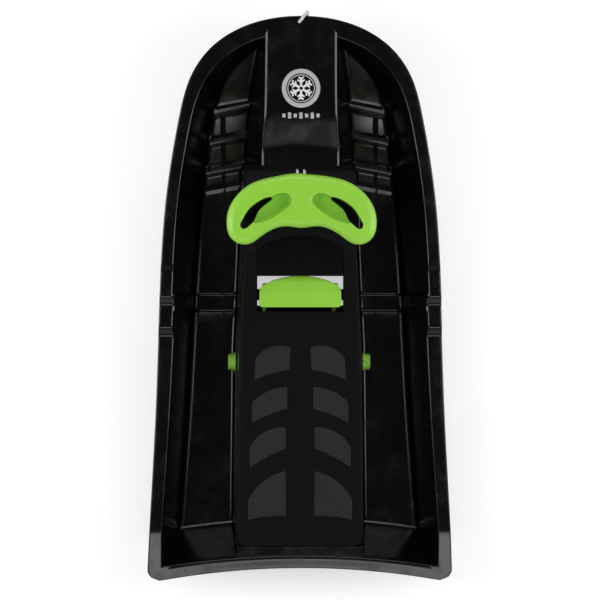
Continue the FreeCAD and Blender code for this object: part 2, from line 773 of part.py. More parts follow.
def make_rope():
    points = rope_route()
    radii = []
    for before, corner, after in zip(points, points[1:], points[2:]):
        run = min((before - corner).Length, (after - corner).Length)
        turn = math.pi - (before - corner).getAngle(after - corner)
        radii.append(0.45 * run / math.tan(turn / 2))
    path = rounded_path(points, radii)
    section = Part.Wire(Part.makeCircle(rope_diameter / 2, points[0], points[1] - points[0]))
    tube = path.makePipeShell([section], True, False)
    expected = math.pi * rope_diameter ** 2 / 4 * path.Length
    print("rope radii", [round(r, 1) for r in radii])
    print("rope length", round(path.Length, 1), "volume against length", round(tube.Volume / expected, 4))
    return tube


def make_knots():
    """A lump above each rope end, shut in the handle's front bar."""
    knots = []
    for x in (-rope_spacing / 2, rope_spacing / 2):
        floor = handle_base + 13 + fit_gap
        ball = Part.makeSphere(knot_diameter / 2, Vector(x, knot_y, floor + 4.0))
        knots.append(ball.common(box(x - 8, x + 8, knot_y - 8, knot_y + 8, floor, floor + 20)))
    return Part.makeCompound(knots)


def make_graphic():
    """Printed film on the ridge."""
    half, rear, front = graphic_half, half_length - 179, half_length - 91
    points = [Vector(-half, rear, 0), Vector(half, rear, 0), Vector(half, front, 0), Vector(-half, front, 0)]
    plate = Part.Face(Part.makePolygon(points + points[:1])).extrude(Vector(0, 0, 300))
    plate = plate.makeFillet(6, [e for e in plate.Edges if abs(e.tangentAt(e.FirstParameter).z) > 0.99])
    line = ridge_line[:2]
    layer = side_slab([(y, z + 0.02) for y, z in line] + [(y, z + 0.32) for y, z in reversed(line)], 90)
    return plate.common(layer)


export("hull", make_hull())
export("seat_cover", make_cover())
for number, edges in enumerate(pad_outlines(0)):
    side = "right" if number % 2 else "left"
    pad = pad_solid(edges, -pad_recess + 0.05, pad_thickness - pad_recess)
    export("pad_row_%d_%s" % (number // 2 + 1, side), pad)
export("handle", make_handle())
export("rope_knots", make_knots())
export("tow_rope", make_rope())
export("brake_lever", make_lever())
export("brake_claw", make_claw())
export("claw_screws", make_claw_screws())
export("brake_pin_right", make_pin(1))
export("brake_pin_left", make_pin(-1))
export("cover_screws", make_cover_screws())
export("nose_graphic", make_graphic())
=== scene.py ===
import bpy
import math
import numpy as np
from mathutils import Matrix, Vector


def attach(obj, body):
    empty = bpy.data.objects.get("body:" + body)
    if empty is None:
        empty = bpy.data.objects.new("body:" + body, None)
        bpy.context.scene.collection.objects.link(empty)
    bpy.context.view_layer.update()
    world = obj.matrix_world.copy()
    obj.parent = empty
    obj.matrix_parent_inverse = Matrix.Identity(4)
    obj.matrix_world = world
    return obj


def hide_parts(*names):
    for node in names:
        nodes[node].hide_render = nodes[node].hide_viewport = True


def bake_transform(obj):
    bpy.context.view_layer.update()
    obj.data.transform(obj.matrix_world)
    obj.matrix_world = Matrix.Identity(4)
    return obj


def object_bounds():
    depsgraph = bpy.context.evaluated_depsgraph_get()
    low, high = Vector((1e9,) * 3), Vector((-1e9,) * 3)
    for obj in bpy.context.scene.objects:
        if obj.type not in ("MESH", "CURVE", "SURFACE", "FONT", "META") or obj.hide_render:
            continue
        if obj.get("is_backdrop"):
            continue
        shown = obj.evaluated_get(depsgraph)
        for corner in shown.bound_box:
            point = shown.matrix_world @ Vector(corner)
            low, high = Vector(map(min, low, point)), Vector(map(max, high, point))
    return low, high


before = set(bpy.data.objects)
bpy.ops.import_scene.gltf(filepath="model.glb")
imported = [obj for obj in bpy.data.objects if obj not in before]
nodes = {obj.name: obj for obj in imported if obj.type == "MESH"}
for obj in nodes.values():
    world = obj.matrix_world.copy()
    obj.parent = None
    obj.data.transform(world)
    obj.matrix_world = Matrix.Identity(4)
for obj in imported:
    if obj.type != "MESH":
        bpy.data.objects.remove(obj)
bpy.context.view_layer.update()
bpy.ops.object.select_all(action="DESELECT")


# camera: straight down with the nose up, through a long lens from a little to the left
camera = dict(height=6.35, lens=200.0, left=0.185, aim=(-0.0002, 0.0005, 0.13))
bpy.ops.object.camera_add(location=(camera["aim"][0] - camera["left"], camera["aim"][1], camera["height"]))
eye = bpy.context.object
eye.name = "studioCamera"
eye.data.lens = camera["lens"]
eye.data.sensor_width = 36.0
eye.data.clip_end = 60.0
back = eye.location - Vector(camera["aim"])
eye.rotation_euler = (0.0, -math.atan2(camera["left"], back.z), 0.0)
bpy.context.scene.camera = eye
bpy.context.scene.view_settings.view_transform = "Standard"      # plastic colours stay as picked


# soft studio light and a pale floor
studio = dict(
    zenith=0.05, horizon=0.95,
    boxes=[  # place, size x and y, power in watts
        ((-1.9, 0.1, 1.5), (1.0, 2.6), 33.0),
        ((1.9, 0.1, 1.5), (1.0, 2.6), 33.0),
        ((0.0, 2.1, 1.6), (1.8, 0.7), 13.0),
        ((0.0, -1.75, 2.2), (2.2, 0.6), 15.0),
    ],
)
for number, (place, size, power) in enumerate(studio["boxes"]):
    bpy.ops.object.light_add(type="AREA", location=place)
    lamp = bpy.context.object
    lamp.name = "softbox%d" % number
    lamp.data.shape = "RECTANGLE"
    lamp.data.size, lamp.data.size_y = size
    lamp.data.energy = power
    lamp.rotation_euler = (Vector((0, 0, 0.1)) - Vector(place)).to_track_quat("-Z", "Y").to_euler()


# sRGB hex to linear
def linear(hexColour):
    values = [int(hexColour[i:i + 2], 16) / 255 for i in (1, 3, 5)]
    return tuple(v / 12.92 if v <= 0.04045 else ((v + 0.055) / 1.055) ** 2.4 for v in values) + (1.0,)


world = bpy.data.worlds.new("studioWorld")
bpy.context.scene.world = world
world.use_nodes = True


def addNode(owner, kind, settings=None, values=None, links=None):
    tree = owner.node_tree
    node = tree.nodes.new("ShaderNode" + kind)
    for key, value in (settings or {}).items():
        setattr(node, key, value)
    for key, value in (values or {}).items():
        node.inputs[key].default_value = value
    for key, source in (links or {}).items():
        tree.links.new(source, node.inputs[key])
    return node


# pale walls all round, darker overhead, so that glossy black shows bright edges and deep flats
height = addNode(world, "SeparateXYZ", links={0: addNode(world, "TexCoord").outputs["Generated"]})
fade = addNode(world, "MapRange", dict(interpolation_type="SMOOTHSTEP"),
               {"From Min": 0.05, "From Max": 0.42, "To Min": studio["horizon"], "To Max": studio["zenith"]},
               {"Value": height.outputs["Z"]})
sky = world.node_tree.nodes["Background"]
sky.inputs[0].default_value = (1, 1, 1, 1)
world.node_tree.links.new(fade.outputs[0], sky.inputs[1])


def newMaterial(name, **values):
    material = bpy.data.materials.new(name)
    material.use_nodes = True
    shader = material.node_tree.nodes["Principled BSDF"]
    for key, value in values.items():
        shader.inputs[key.replace("_", " ")].default_value = value
    return material, shader


def finishWith(piece, material):
    piece.data.materials.clear()
    piece.data.materials.append(material)
    for face in piece.data.polygons:
        face.material_index = 0


print("studio ready")

# helpers that shape a grid primitive
# rows of equal length, millimetres
def shapedGrid(name, rows):
    bpy.ops.object.select_all(action="DESELECT")
    bpy.ops.mesh.primitive_grid_add(x_subdivisions=len(rows[0]) - 1, y_subdivisions=len(rows) - 1, size=1.0)
    piece = bpy.context.object
    piece.name = piece.data.name = name
    flat = np.array(rows, float).reshape(-1, 3) / 1000
    piece.data.vertices.foreach_set("co", flat.ravel())
    piece.data.update()
    return piece


def useModifier(piece, kind, **settings):
    bpy.ops.object.select_all(action="DESELECT")
    bpy.context.view_layer.objects.active = piece
    piece.select_set(True)
    modifier = piece.modifiers.new(kind.lower(), kind)
    for key, value in settings.items():
        setattr(modifier, key, value)
    bpy.ops.object.modifier_apply(modifier=modifier.name)


def joined(name, pieces):
    bpy.ops.object.select_all(action="DESELECT")
    for piece in pieces:
        piece.select_set(True)
    bpy.context.view_layer.objects.active = pieces[0]
    if len(pieces) > 1:
        bpy.ops.object.join()
    whole = bpy.context.object
    whole.name = whole.data.name = name
    return whole


def editAll(piece, *steps):
    bpy.ops.object.select_all(action="DESELECT")
    bpy.context.view_layer.objects.active = piece
    piece.select_set(True)
    bpy.ops.object.mode_set(mode="EDIT")
    bpy.ops.mesh.select_all(action="SELECT")
    for step in steps:
        step()
    bpy.ops.object.mode_set(mode="OBJECT")


def weld(gap=0.00002):
    return lambda: bpy.ops.mesh.remove_doubles(threshold=gap)


def outward():
    bpy.ops.mesh.normals_make_consistent(inside=False)


def smoothed(piece, angle=35):
    bpy.ops.object.select_all(action="DESELECT")
    bpy.context.view_layer.objects.active = piece
    piece.select_set(True)
    bpy.ops.object.shade_smooth_by_angle(angle=math.radians(angle))


def ease(value):
    value = max(0.0, min(1.0, value))
    return value * value * (3 - 2 * value)


# straight-line height at y on a list of (y, z) in falling y
def along(line, y):
    for (y0, z0), (y1, z1) in zip(line, line[1:]):
        if y >= y1:
            return z0 + (z1 - z0) * (y - y0) / (y1 - y0)
    return line[-1][1]


def softAlong(line, y, reach):
    return sum(along(line, y + reach * k / 3) for k in range(-3, 4)) / 7


# smooth curve through points, measured along its length
def curveThrough(points):
    p = np.array(points, float)
    t = np.concatenate([[0], np.cumsum(np.linalg.norm(np.diff(p, axis=0), axis=1))])
    h = np.diff(t)
    system, right = np.eye(len(t)), np.zeros_like(p)
    for i in range(1, len(t) - 1):
        system[i, i - 1:i + 2] = h[i - 1], 2 * (h[i - 1] + h[i]), h[i]
        right[i] = 6 * ((p[i + 1] - p[i]) / h[i] - (p[i] - p[i - 1]) / h[i - 1])
    bend = np.linalg.solve(system, right)

    def at(s):
        i = min(max(int(np.searchsorted(t, s)) - 1, 0), len(t) - 2)
        a, c = (t[i + 1] - s) / h[i], (s - t[i]) / h[i]
        return a * p[i] + c * p[i + 1] + ((a ** 3 - a) * bend[i] + (c ** 3 - c) * bend[i + 1]) * h[i] ** 2 / 6
    return at, t


# hull: one moulded shell. A double curved tub can't be reached with extrudes, so grid primitives
# are laid along its sections and welded
hull = dict(
    half=285.0, nose=525.0, skin=3.2, lip=12.0, edge=2.3, fillet=11.0,
    plan=[(0.250, .0078), (0.416, .0240), (0.583, .0552), (0.714, .1050), (0.793, .1790),
          (0.871, .3070), (0.920, .5000), (0.944, .6880), (0.977, .8600), (1.015, 1.0600)],
    rim=[(565, 208), (66, 173), (54, 170), (6, 168), (-8, 156), (-51, 155), (-66, 143),
         (-430, 138), (-513, 118), (-565, 106)],
    floor=[(500, 230), (486, 178), (474, 158), (430, 120), (382, 86), (330, 60), (262, 38),
           (200, 22), (130, 14), (-585, 14)],
    draft=0.262, rearDraft=0.55, rearSweep=24.0, sweepHalf=263.0, rearMiddle=-501.0, leanTo=300.0,
    band=(-21.5, 11.0, 4.0), ribSlant=0.186,
    ribs=[(368, 84, 172, 4.5, 16), (314, 88, 182, 4.5, 16), (260, 94, 192, 4.5, 16), (224, 100, 198, 1.6, 9)],
    ridge=[(502, 208), (340, 182), (275, 160), (230, 158)],
    ridgeHalf=[(502, 66), (382, 68), (230, 73)],
    seat=[(250, 170), (240, 184), (200, 204.7), (150, 204.7), (126, 178), (96, 160), (20, 148),
          (-120, 141), (-300, 134), (-434, 131), (-460, 121)],
    seatHalf=[(250, 103), (95, 105), (-90, 114), (-460, 118)], keels=(144, 176),
)


def seatHalf(y):
    return softAlong(hull["seatHalf"], y, 12)


def tunnelHalf(y, z):
    return seatHalf(y) + 7 * (130 - z) / 116


def ridgeWidth(y, z):
    return along(hull["ridgeHalf"], y) + 0.25 * (208 - (502 - y) * 0.19 - z)


def sheer(y):
    return 205 + (y - hull["nose"]) * 0.0702


def rimInset(y):
    return 23 + 8 * ease((y - 325.5) / 173.25)


def rimHeight(y):
    return softAlong(hull["rim"], y, 2.4)


floorTable = curveThrough([(y, z) for y, z in reversed(hull["floor"][2:-1])])


def floorHeight(y):
    if y <= 130:
        return 14.0
    if y >= 474:
        return softAlong(hull["floor"], y, 3.0)
    at, length = floorTable
    low, high = 0.0, length[-1]
    for _ in range(24):
        middle = (low + high) / 2
        low, high = (middle, high) if at(middle)[0] < y else (low, middle)
    return float(max(14.0, at(low)[1]))


def rearEdge(x):
    return hull["rearMiddle"] - hull["rearSweep"] * (x / hull["sweepHalf"]) ** 2


def rearY(x, z):
    inset = 23 + hull["rearDraft"] * (126 - z)
    return hull["rearMiddle"] + inset - hull["rearSweep"] * (x / hull["sweepHalf"]) ** 2


planRight = [(hull["half"] * w, hull["nose"] - 1050 * d) for w, d in reversed(hull["plan"])]
planLeft = [(-x, y) for x, y in reversed(planRight)]
outlineAt, outlineLength = curveThrough(planRight + [(0, hull["nose"])] + planLeft)
tipLength = outlineLength[len(planRight)]


def outlineSample(s):
    place = outlineAt(s)
    step = outlineAt(s + 0.5) - outlineAt(s - 0.5)
    step /= np.linalg.norm(step)
    inward = np.array([-step[1], step[0]])
    if inward @ (np.array([0, 200]) - place) < 0:
        inward = -inward
    lean = np.array([-1.0, 0.0])
    if place[1] > hull["leanTo"]:
        lean = np.array([-place[0], hull["leanTo"] - place[1]])
        lean /= np.linalg.norm(lean)
    return place, lean / (inward @ lean)


def outlineS(y):
    low, high = 0.0, tipLength
    for _ in range(40):
        middle = (low + high) / 2
        low, high = (middle, high) if outlineAt(middle)[1] < y else (low, middle)
    return low


def wallPoint(sample, z):
    place, lean = sample
    spot = place + lean * (rimInset(place[1]) + hull["draft"] * (sheer(place[1]) - z))
    return np.array([spot[0], spot[1], z])


def wallTop(sample):
    z = rimHeight(sample[0][1])
    for _ in range(6):
        z = rimHeight(wallPoint(sample, z)[1])
    return wallPoint(sample, z)


def wallFoot(sample, top):
    low, high = 10.0, top[2]
    if floorHeight(top[1]) >= top[2]:
        return top.copy()
    for _ in range(30):
        middle = (low + high) / 2
        low, high = (middle, high) if middle < floorHeight(wallPoint(sample, middle)[1]) else (low, middle)
    return wallPoint(sample, high)


def cornerPoint(z):
    x, y = 240.0, -480.0
    for _ in range(30):
        x = wallPoint(outlineSample(outlineS(y)), z)[0]
        y = rearY(x, z)
    return np.array([x, y, z])


# where the floor slips under the tunnel or the nose ridge
def innerEdge(y):
    z = floorHeight(y)
    return (tunnelHalf(y, z) if y < 238 else ridgeWidth(y, min(z, 200))) - 4


footCorner = cornerPoint(14.0)
topCorner = cornerPoint(rimHeight(-500))
topCorner[2] = rimHeight(topCorner[1])

# outer corner of the rim: an arc between the side and the concave rear edge
tangentSide = outlineAt(outlineS(-503))
rearEdgeX = tangentSide[0] - 25
tangentRear = np.array([rearEdgeX, rearEdge(rearEdgeX)])
sharp = np.array([tangentSide[0] + 1.0, tangentRear[1] - 0.2])


# 0 on the rear edge, 1 on the side
def cornerArc(t):
    a, b = tangentRear + 0.55 * (sharp - tangentRear), tangentSide + 0.55 * (sharp - tangentSide)
    return (((1 - t) ** 3) * tangentRear + 3 * t * (1 - t) ** 2 * a
            + 3 * t * t * (1 - t) * b + t ** 3 * tangentSide)


def withHeight(spot):
    return np.array([spot[0], spot[1], rimHeight(spot[1])])


def roundedFoot(bend, corner, after):
    steps = (0.25, 0.5, 0.75)
    return [(1 - t) ** 2 * bend + 2 * t * (1 - t) * corner + t * t * after for t in steps] + [after]


# one strip across lip, rim, wall and foot fillet; after is where the floor takes over
def section(outer, top, foot, after, radius, band):
    across = top[:2] - outer[:2]
    width = np.linalg.norm(across)
    across = across / width
    e = hull["edge"]
    points = [
        np.array([outer[0], outer[1], outer[2] - hull["lip"]]), np.array([outer[0], outer[1], outer[2] - e]),
    ]
    for angle in (22.5, 45, 67.5):
        a = math.radians(angle)
        move = e * (1 - math.cos(a))
        points.append(np.array([*(outer[:2] + across * move), outer[2] - e + e * math.sin(a)]))
    points.append(np.array([*(outer[:2] + across * e), outer[2]]))
    for share in (0.3, 0.7):
        spot = outer[:2] + across * (e + share * (width - 2 * e))
        points.append(np.array([*spot, outer[2] + (top[2] - outer[2]) * share]))
    points.append(np.array([*(top[:2] - across * e), top[2]]))
    height = max(top[2] - foot[2], 0.01)
    down = (foot - top) / height if height > 0.02 else np.array([0, 0, -1.0])
    drop = min(e, 0.3 * height)
    for angle in (30, 60, 90):
        a = math.radians(angle)
        spot = top - np.array([*across, 0]) * e * (1 - math.sin(a)) + down * drop * (1 - math.cos(a))
        points.append(spot)
    start, bend = top + down * drop, foot - down * radius
    for share in (0.12, 0.25, 0.5, 0.75, 0.9):
        points.append(start + (bend - start) * share)
    points.append(bend)
    points += roundedFoot(bend, foot, after)
    if band:
        inward = np.array([*across, 0.0])
        for k in range(9, len(points)):
            share = ease((k - 9) / 4)
            push = inward * 4.0 if k < 18 else inward * 2.0
            points[k] = points[k] + (push * share + np.array([0, 0, 4.0 if k >= 18 else 0.0])) * band
    return points


def bandHeight(y):
    low, high, _ = hull["band"]
    return ease((y - low + 2.5) / 5.0) * ease((high + 2.5 - y) / 5.0)


def slantAt(y):
    return hull["ribSlant"] * ease((y - 60) / 140) * (1 - ease((y - 400) / 70))


def ribHeight(x, y):
    rise = 0.0
    for start, inner, outer, height, width in hull["ribs"]:
        off = abs(y - (start - hull["ribSlant"] * (x - 84)))
        ends = ease((x - inner + 3) / 7) * ease((outer + 3 - x) / 7)
        rise = max(rise, height * ends * (1 - ease((off - width / 2 + 3.6) / 7.2)))
    return rise


# point of the row that ends at footSpot, moved in to x
def floorSpot(footSpot, x):
    fade = ease((footSpot[1] - footCorner[1]) / 130)
    rear = rearY(x, 14) - rearY(footSpot[0], 14) + hull["fillet"]
    y = footSpot[1] + (1 - fade) * rear + fade * slantAt(footSpot[1]) * (footSpot[0] - x)
    z = floorHeight(y) + ribHeight(x, y) + 4.0 * bandHeight(y)
    return np.array([x, y, z])


sideYs = sorted(set(
    [-492 + 8 * k for k in range(13)] + [-388 + 12 * k for k in range(27)]
    + [y + d for y in (66, 54, 6, -8, -51, -66) for d in (-4.5, -2, 0, 2, 4.5)]
    + [-21.5 + d for d in (-2.6, -1.2, 0, 1.2, 2.6)] + [11 + d for d in (-2.6, -1.2, 0, 1.2, 2.6)]
    + [20 + 6 * k for k in range(6)] + [72 + 6 * k for k in range(18)] + [180 + 2.6 * k for k in range(47)]
))
stripRows = []
cornerSteps = 5
firstSide = outlineSample(outlineS(sideYs[0]))
for k in range(cornerSteps):
    t = k / cornerSteps
    arc = 0.5 + 0.5 * min(1.0, t * 1.6)
    spot = cornerArc(arc)
    if t * 1.6 > 1:
        spot = outlineAt(outlineS(-503 + (sideYs[0] + 503) * (t * 1.6 - 1) / (1.6 * 0.8 - 1 + 0.32)))
    top = topCorner + (wallTop(firstSide) - topCorner) * t
    footY = footCorner[1] + (sideYs[0] - topCorner[1]) * t * 0.45
    sample = outlineSample(outlineS(footY))
    foot = wallPoint(sample, 14.0) if k else footCorner
    stripRows.append((withHeight(spot), top, foot))
samples = [outlineSample(outlineS(y)) for y in sideYs]
start = outlineS(sideYs[-1])
count = 84
samples += [outlineSample(start + (tipLength - start) * (k + 1) / count) for k in range(count)]
for sample in samples:
    top = wallTop(sample)
    y = top[1]
    if y < -380:
        footY = footCorner[1] + (y - topCorner[1]) * (-380 - footCorner[1]) / (-380 - topCorner[1])
        foot = wallPoint(outlineSample(outlineS(footY)), 14.0)
    else:
        foot = wallFoot(sample, top)
    stripRows.append((withHeight(sample[0]), top, foot))

strip, floorRows = [], []
for outer, top, foot in stripRows:
    inner = min(innerEdge(foot[1]), foot[0] - 0.5)
    width = foot[0] - inner
    radius = min(hull["fillet"], 0.35 * max(top[2] - foot[2], 0.0), 0.4 * width)
    after = floorSpot(foot, max(foot[0] - radius, 0.0))
    if foot[1] > 488:
        after[2] = min(after[2], foot[2] + radius)
    strip.append(section(outer, top, foot, after, radius, bandHeight(foot[1])))
    shares = [0, 0.015, 0.03, 0.06] + [0.06 + 0.94 * k / 34 for k in range(1, 35)]
    row = [after]
    for share in shares[1:]:
        x = after[0] + (max(inner, 0.0) - after[0]) * share
        spot = floorSpot(foot, x)
        if foot[1] > 488:
            spot[2] = min(spot[2], foot[2] + 1)
        row.append(spot)
    floorRows.append(row)

# rear wall: columns from the corner to the middle
rearStrip = []
firstRow = floorRows[0]
rearXs = [footCorner[0]] + [p[0] for p in firstRow[1:]]
rearXs += [firstRow[-1][0] * (1 - (k + 1) / 14) for k in range(14)]
for number, x in enumerate(rearXs):
    spread = ease((x - 110) / (footCorner[0] - 110))
    topX = x + (topCorner[0] - footCorner[0]) * spread
    arcMiddle = cornerArc(0.5)
    outerX = x + (arcMiddle[0] - footCorner[0]) * spread
    top = np.array([topX, rearY(topX, 126), 0.0])
    top[2] = rimHeight(top[1])
    top[1] = rearY(topX, top[2])
    if number == 0:
        top, outer, foot = topCorner, withHeight(arcMiddle), footCorner
    else:
        if outerX > tangentRear[0]:
            t = 0.5 * (arcMiddle[0] - outerX) / max(arcMiddle[0] - tangentRear[0], 0.01)
            outer = withHeight(cornerArc(0.5 - t))
        else:
            outer = withHeight(np.array([outerX, rearEdge(outerX)]))
        foot = np.array([x, rearY(x, 14), 14.0])
    after = firstRow[number] if number < len(firstRow) else np.array([x, foot[1] + hull["fillet"], 14.0])
    rearStrip.append(section(outer, top, foot, after, hull["fillet"], 0.0))

tubParts = [shapedGrid("side", strip), shapedGrid("floorSide", floorRows), shapedGrid("rear", rearStrip)]
tub = joined("hullTub", tubParts)
editAll(tub, weld(0.00005), outward)
print("tub", len(tub.data.polygons))


# grid on the right side, mirrored and welded along the middle
def halfLoft(name, rows):
    piece = shapedGrid(name, rows)
    editAll(piece, weld(0.00005), outward)
    return piece


# turns a sheet over if most of it faces down
def facingUp(piece):
    total = sum(face.normal.z * face.area for face in piece.data.polygons)
    if total < 0:
        editAll(piece, bpy.ops.mesh.flip_normals)


def bothSides(piece):
    useModifier(piece, "MIRROR", use_clip=True, merge_threshold=0.0002)


facingUp(tub)
bothSides(tub)
useModifier(tub, "SOLIDIFY", thickness=hull["skin"] / 1000, offset=-1.0, use_even_offset=False)


# half section from the middle out: top, rounded edge, drafted side, fillet, foot
def footOf(halfWidthAt, y, topZ, edge, radius, footZ):
    topHalf = halfWidthAt(y, topZ)
    points = [np.array([topHalf * k / 10 - (edge if k == 10 else 0), y, topZ]) for k in range(11)]
    side = np.array([halfWidthAt(y, topZ - edge), y, topZ - edge])
    for angle in (22.5, 45, 67.5):
        a = math.radians(angle)
        points.append(np.array([topHalf - edge + edge * math.sin(a) + (side[0] - topHalf) * (1 - math.cos(a)),
                                y, topZ - edge + edge * math.cos(a)]))
    points.append(side)
    low = np.array([halfWidthAt(y, footZ), y, footZ])
    rise = max(topZ - edge - footZ, 0.02)
    bend = low + (side - low) * min(1.0, radius / rise) * 0.98
    for share in (0.33, 0.66):
        points.append(side + (bend - side) * share)
    points.append(bend)
    return points + roundedFoot(bend, low, low + np.array([radius, 0, 0]))


def surroundHeight(y):
    return min(floorHeight(y), rimHeight(y)) + 4.0 * bandHeight(y)


# nose ridge
ridgeRows = []
ridgeYs = [230 + 5 * k for k in range(50)] + [480, 484, 488, 491]
for y in ridgeYs:
    top = softAlong(hull["ridge"], y, 7)
    foot = surroundHeight(y) - 0.2
    radius = min(7.0, 0.45 * max(top - foot - 5, 0.5))
    ridgeRows.append(footOf(ridgeWidth, y, top, 5.0, radius, foot))
for angle in (15, 30, 45, 60, 75, 90):
    a = math.radians(angle)
    y = 491 + 11 * math.sin(a)
    squeeze = 11 * (1 - math.cos(a))
    top = softAlong(hull["ridge"], min(y, 500), 2) - (3.0 * (1 - math.cos(a)) if angle > 60 else 0)
    row = footOf(ridgeWidth, min(y, 501.9), top, 4.0, 0.8, surroundHeight(y) - 0.4)
    for k, point in enumerate(row):
        point[0] = max(0.0, point[0] - squeeze * min(1.0, k / 10))
    ridgeRows.append(row)
low = [np.array([p[0], 502.6, min(p[2], 198.0)]) for p in ridgeRows[-1]]
ridgeRows.append(low)
ridge = halfLoft("hullRidge", ridgeRows)


# height of the sloping rear wall at y beside the channel
def wallFootBehind(y):
    return 126 - (y + 478 + hull["rearSweep"] * (118 / hull["sweepHalf"]) ** 2) / hull["rearDraft"] - 2.5


def channelSide(side, y, foot):
    low = np.array([tunnelHalf(y, foot), y, foot])
    bend = low + (side - low) * min(0.5, 7.0 / (side[2] - foot))
    return [side + (bend - side) * 0.5, bend] + roundedFoot(bend, low, low + np.array([7.0, 0, 0]))


# channel under the seat
tunnelRows = []
for y in [246, 243] + [236 - 8 * k for k in range(86)] + [-456.4]:
    seat = along(hull["seat"], min(y, 20))
    rise = max(0.0, (y - 20) / 230)
    roof = seat - 12 + 10 * rise
    shoulder = seat - 18.3 + 16 * rise
    neck = seatHalf(y) - 3.3
    foot = max(surroundHeight(y) - 0.2, wallFootBehind(y))
    points = [np.array([(neck - 3) * k / 8, y, roof]) for k in range(9)]
    points += [np.array([neck - 0.9, y, roof - 0.9]), np.array([neck, y, roof - 3])]
    points += [np.array([neck, y, shoulder]), np.array([tunnelHalf(y, shoulder) - 1.2, y, shoulder])]
    points += [np.array([tunnelHalf(y, shoulder - 1.2), y, shoulder - 1.2])]
    points += channelSide(points[-1], y, foot)
    if not tunnelRows:
        tunnelRows.append([np.array([0.0, y, p[2]]) for p in points])       # closes the front end
    tunnelRows.append(points)
for y, drop in ((-460.2, 3.0), (-460.6, 0.9), (-461.6, 0.0), (-466, 0), (-472, 0), (-476, 0), (-479, 0)):
    top = 122.0 - 2.5 * (-460 - y) / 30 - drop
    foot = min(wallFootBehind(y), top - 7)
    half = tunnelHalf(y, top)
    points = [np.array([(half - 3) * k / 8, y, top]) for k in range(9)]
    points += [np.array([half - 2, y, top - 0.3]), np.array([half - 0.9, y, top - 0.9])]
    points += [np.array([half - 0.3, y, top - 2]), np.array([half, y, top - 3])]
    points += [np.array([tunnelHalf(y, top - 6), y, top - 6])]
    points += channelSide(points[-1], y, foot)
    tunnelRows.append(points)
tunnel = halfLoft("hullTunnel", tunnelRows)
for part in (ridge, tunnel):
    facingUp(part)
    bothSides(part)
    useModifier(part, "SOLIDIFY", thickness=0.0030, offset=-1.0, use_even_offset=False)

# opening for the brake well, arched at the front
well = dict(half=80.0, rear=-20.5, front=93.5, arch=119.5)


def wellOutline(grow):
    half, front, arch = well["half"] + grow, well["front"] + grow, well["arch"] + grow
    sag = arch - front
    radius = (half * half + sag * sag) / (2 * sag)
    points = [(-half, well["rear"] - grow), (half, well["rear"] - grow)]
    reach = math.asin(half / radius)
    for k in range(17):
        a = reach - 2 * reach * k / 16
        points.append((radius * math.sin(a), arch - radius + radius * math.cos(a)))
    return points


def wellCutter(grow, low, high):
    outline = wellOutline(grow)
    bpy.ops.mesh.primitive_circle_add(vertices=len(outline), radius=1.0, fill_type="NGON")
    cutter = bpy.context.object
    for vertex, (x, y) in zip(cutter.data.vertices, outline):
        vertex.co = (x / 1000, y / 1000, low / 1000)
    editAll(cutter, lambda: bpy.ops.mesh.extrude_region_move(
        TRANSFORM_OT_translate={"value": (0, 0, (high - low) / 1000)}), outward)
    return cutter


def cutBy(piece, cutter):
    useModifier(piece, "BOOLEAN", operation="DIFFERENCE", object=cutter, solver="EXACT")
    bpy.data.objects.remove(cutter)


cutBy(tunnel, wellCutter(0.0, 100.0, 190.0))

# sloping front wall of the brake well, and a low strap behind the grip
slopeRows = []
for k in range(9):
    t = k / 8
    y, z = 121 - 75 * t, 138 - 128 * t
    slopeRows.append([np.array([x, y, z]) for x in np.linspace(-97, 97, 11)])
slope = shapedGrid("wellSlope", slopeRows)
facingUp(slope)
useModifier(slope, "SOLIDIFY", thickness=0.003, offset=-1.0)
strap = shapedGrid("wellStrap", [[(x, y, 16.5) for x in (-116, -60, 0, 60, 116)] for y in (-24, -17, -10)])
facingUp(strap)
useModifier(strap, "SOLIDIFY", thickness=0.003, offset=-1.0)
panel = joined("wellPanel", [slope, strap])
smoothed(panel, 32)
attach(panel, "sled")

# keels: rounded runners below the floor that fade into it at both ends
keelHalf = [(3, 0), (5.2, 1.2), (6, 3.5), (6, None)]     # x from its middle, height above its lowest line
keelSection = [(-dx, up) for dx, up in reversed(keelHalf)] + keelHalf
runners = []
for side in (-1, 1):
    for x in hull["keels"]:
        rear = rearY(x, 14) + 4
        front = max(foot[1] for _, _, foot in stripRows if foot[0] > x + 14 and foot[1] < 360)
        rows = []
        for y in np.linspace(rear, front, 60):
            base = floorHeight(y) - 2.0
            low = base - 12.0 * ease((y - rear) / 16) * ease((front - y) / 90)
            rows.append([np.array([side * x + dx, y, base if up is None else min(base, low + up)])
                         for dx, up in keelSection])
        runners.append(shapedGrid("runner", rows))
runner = joined("hullRunners", runners)
editAll(runner, weld(), lambda: bpy.ops.mesh.fill_holes(sides=0), outward)

# lugs that carry the brake grip
lugs = []
for side in (-1, 1):
    bpy.ops.object.select_all(action="DESELECT")
    bpy.ops.mesh.primitive_cube_add(size=1.0, location=(side * 0.0768, 0.0105, 0.1352))
    lug = bpy.context.object
    lug.scale = (0.0114, 0.021, 0.012)
    bpy.ops.object.transform_apply(location=True, rotation=True, scale=True)
    useModifier(lug, "BEVEL", width=0.0012, segments=3)
    lugs.append(lug)
shell = joined("hullShell", [tub, ridge, tunnel, runner] + lugs)
smoothed(shell, 32)
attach(shell, "sled")
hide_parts("hull")
print("hull shell, faces", len(shell.data.polygons))


# seat and console cover: a thin tray turned over, laid along its side line
cover = dict(skin=0.003, edge=4.0,
             low=[(250, 146), (20, 130), (-120, 123), (-300, 116), (-434, 113), (-460, 103)])


